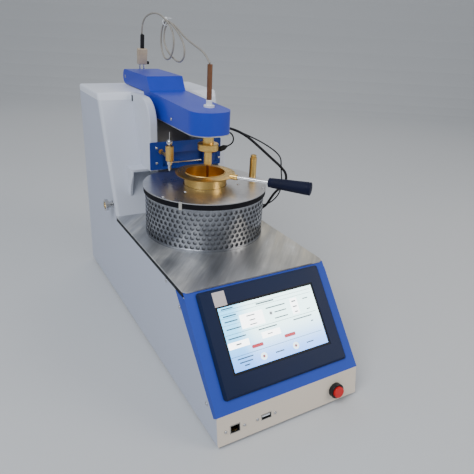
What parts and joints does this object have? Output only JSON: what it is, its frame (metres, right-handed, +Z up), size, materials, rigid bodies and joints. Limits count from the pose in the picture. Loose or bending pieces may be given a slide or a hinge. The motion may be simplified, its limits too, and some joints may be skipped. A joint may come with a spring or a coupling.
{
  "type": "flash point tester",
  "caption": "Bench open-cup flash point tester with a sloped touch screen, heated plate, brass test cup, swinging burner and lifting probe arm.",
  "frame": {"origin": "centre of the footprint, on the surface the feet stand on", "axes": "+Z up, +Y from the screen to the back, +X to the right seen from the front"},
  "size_m": [0.2952, 0.6173, 0.5059],
  "materials": {
    "case_grey": "satin powder coat",
    "case_cream": "satin powder coat",
    "blue_paint": "gloss paint",
    "brushed_plate": "cloudy brushed",
    "shroud_steel": "perforated, bright",
    "polished_disc": "polished",
    "board_dark": "matt fibre board",
    "aluminium_block": "machined",
    "element_steel": "satin",
    "spring_steel": "bright",
    "steel_bright": "bright",
    "gold_brass": "polished",
    "copper_probe": "polished copper",
    "black_rubber": "matt",
    "black_plastic": "gloss",
    "navy_plastic": "gloss",
    "navy_grip": "knurled",
    "screen_glass": "lit screen behind glass",
    "red_plastic": "gloss",
    "white_plastic": "matt",
    "beige_plastic": "matt",
    "braid_grey": "braided sleeve",
    "board_green": "solder mask"
  },
  "bodies": {
    "chassis": {"back_panel": "case_grey", "base_tray": "case_grey", "burner_body": "gold_brass", "burner_bracket": "gold_brass", "button_bezel": "black_plastic", "control_board": "board_green", "display_frame": "blue_paint", "fan_frame": "black_plastic", "fasteners": "steel_bright", "feet": "black_rubber", "front_strip": "case_cream", "gas_inlet": "case_grey", "gas_valve": "steel_bright", "handle_post": "gold_brass", "heater_lead": "black_rubber", "heater_shroud": "shroud_steel", "heater_stand": "element_steel", "heating_plate": "aluminium_block", "hinge_saddle": "element_steel", "hot_plate_cover": "polished_disc", "igniter_plate": "blue_paint", "insulation_board": "board_dark", "lead_glands": "black_plastic", "left_cheek": "case_cream", "left_side_panel": "case_grey", "lift_motor": "element_steel", "network_socket": "black_plastic", "pedestal": "case_cream", "plate_gasket": "black_rubber", "power_inlet": "black_plastic", "power_supply": "aluminium_block", "right_cheek": "case_cream", "right_side_panel": "case_grey", "rim_clips": "spring_steel", "sensor_lead": "black_rubber", "top_plate": "brushed_plate", "touch_bezel": "navy_plastic", "touch_display": "screen_glass", "tower_front_wall": "case_cream", "tower_top_cover": "case_cream", "usb_socket": "black_plastic"},
    "arm": {"arm_cover": "blue_paint", "arm_floor": "brushed_plate", "pivot_shaft": "steel_bright", "probe_collar": "white_plastic", "probe": "copper_probe", "detector_ring": "gold_brass", "detector_boot": "black_rubber", "ring_lead": "black_rubber", "connector_body": "beige_plastic", "connector_boot": "black_rubber", "probe_cable": "braid_grey"},
    "burner": {"burner_jet": "gold_brass"},
    "burner_needle": {"burner_knob": "steel_bright"},
    "cup": {"cup": "gold_brass", "cup_handle": "steel_bright", "cup_grip": "navy_grip"},
    "button": {"button_cap": "red_plastic"},
    "gas_knob": {"gas_knob": "black_plastic"},
    "fan": {"fan_rotor": "black_plastic"}
  },
  "joints": [
    {"name": "arm_lift", "type": "hinge", "parent": "chassis", "child": "arm", "pos_m": [0.002, 0.276, 0.3895], "axis": [-1, 0, 0], "range_deg": [0, 55]},
    {"name": "burner_swing", "type": "hinge", "parent": "chassis", "child": "burner", "pos_m": [-0.038, 0.04, 0.28], "axis": [0, 0, 1], "range_deg": [-95, 0]},
    {"name": "needle_turn", "type": "hinge", "parent": "burner", "child": "burner_needle", "pos_m": [-0.038, 0.04, 0.314], "axis": [0, 0, 1], "range_deg": [0, 270]},
    {"name": "cup_lift", "type": "slide", "parent": "chassis", "child": "cup", "axis": [0, 0, 1], "range_m": [0, 0.005]},
    {"name": "button_press", "type": "slide", "parent": "chassis", "child": "button", "axis": [0, 0.9883, -0.1528], "range_m": [0, 0.003], "stiffness_N_per_m": 400, "springref_m": -0.001},
    {"name": "gas_turn", "type": "hinge", "parent": "chassis", "child": "gas_knob", "pos_m": [-0.115, 0.117, 0.191], "axis": [1, 0, 0], "range_deg": [0, 270]},
    {"name": "fan_spin", "type": "hinge", "parent": "chassis", "child": "fan", "pos_m": [-0.02, 0.29, 0.085], "axis": [0, 1, 0], "continuous": true}
  ]
}
